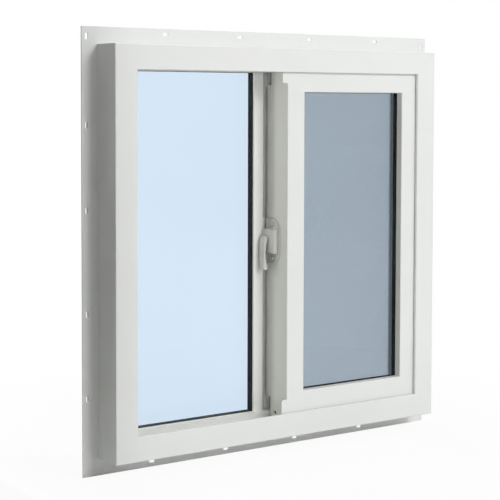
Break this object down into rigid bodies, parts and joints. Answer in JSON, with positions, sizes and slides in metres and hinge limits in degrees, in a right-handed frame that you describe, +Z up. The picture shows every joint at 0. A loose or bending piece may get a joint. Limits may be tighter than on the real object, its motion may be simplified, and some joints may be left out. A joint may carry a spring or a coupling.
{
  "type": "sliding basement window",
  "caption": "White vinyl sliding basement window: fixed insulated light, latched sliding sash with an insect screen behind it, and a slotted nailing fin all round.",
  "frame": {"origin": "on the indoor side of the bottom nailing fin, half way along the window and half way up the fin: the face that bears on the wall", "axes": "+X to the right as seen from indoors, +Y outdoors, +Z up"},
  "size_m": [0.647, 0.0865, 0.647],
  "materials": {
    "white_vinyl": "satin, welded corners",
    "bead_vinyl": "satin",
    "clear_glass": "clear float glass",
    "spacer_foam": "matt black",
    "latch_plastic": "smooth moulded",
    "screen_metal": "white baked enamel",
    "screen_weave": "charcoal woven mesh",
    "spline_rubber": "ribbed cord",
    "pile": "grey pile",
    "bumper_rubber": "matt",
    "roller_plastic": "smooth",
    "track_metal": "mill finish",
    "screw_steel": "zinc plated"
  },
  "bodies": {
    "root": {"fixed_bead_bottom": "bead_vinyl", "fixed_bead_left": "bead_vinyl", "fixed_bead_right": "bead_vinyl", "fixed_bead_top": "bead_vinyl", "fixed_glass_inner": "clear_glass", "fixed_glass_outer": "clear_glass", "fixed_glass_spacer": "spacer_foam", "frame_head": "white_vinyl", "frame_left_jamb": "white_vinyl", "frame_right_jamb": "white_vinyl", "frame_sill": "white_vinyl", "jamb_bumpers": "bumper_rubber", "latch_base": "latch_plastic", "latch_body": "latch_plastic", "latch_keeper": "latch_plastic", "latch_lever": "latch_plastic", "latch_screws": "screw_steel", "latch_tongue": "latch_plastic", "meeting_mullion": "white_vinyl", "meeting_seal": "pile", "nail_fin_bottom": "white_vinyl", "nail_fin_left": "white_vinyl", "nail_fin_right": "white_vinyl", "nail_fin_top": "white_vinyl", "roller_housings": "roller_plastic", "roller_wheels": "roller_plastic", "sash_bead_bottom": "bead_vinyl", "sash_bead_left": "bead_vinyl", "sash_bead_right": "bead_vinyl", "sash_bead_top": "bead_vinyl", "sash_bottom_rail": "white_vinyl", "sash_glass_inner": "clear_glass", "sash_glass_outer": "clear_glass", "sash_glass_spacer": "spacer_foam", "sash_lock_stile": "white_vinyl", "sash_right_stile": "white_vinyl", "sash_seals": "pile", "sash_top_rail": "white_vinyl", "screen_frame_bottom": "screen_metal", "screen_frame_left": "screen_metal", "screen_frame_right": "screen_metal", "screen_frame_top": "screen_metal", "screen_mesh": "screen_weave", "screen_spline": "spline_rubber", "sill_track": "track_metal"}
  },
  "joints": []
}
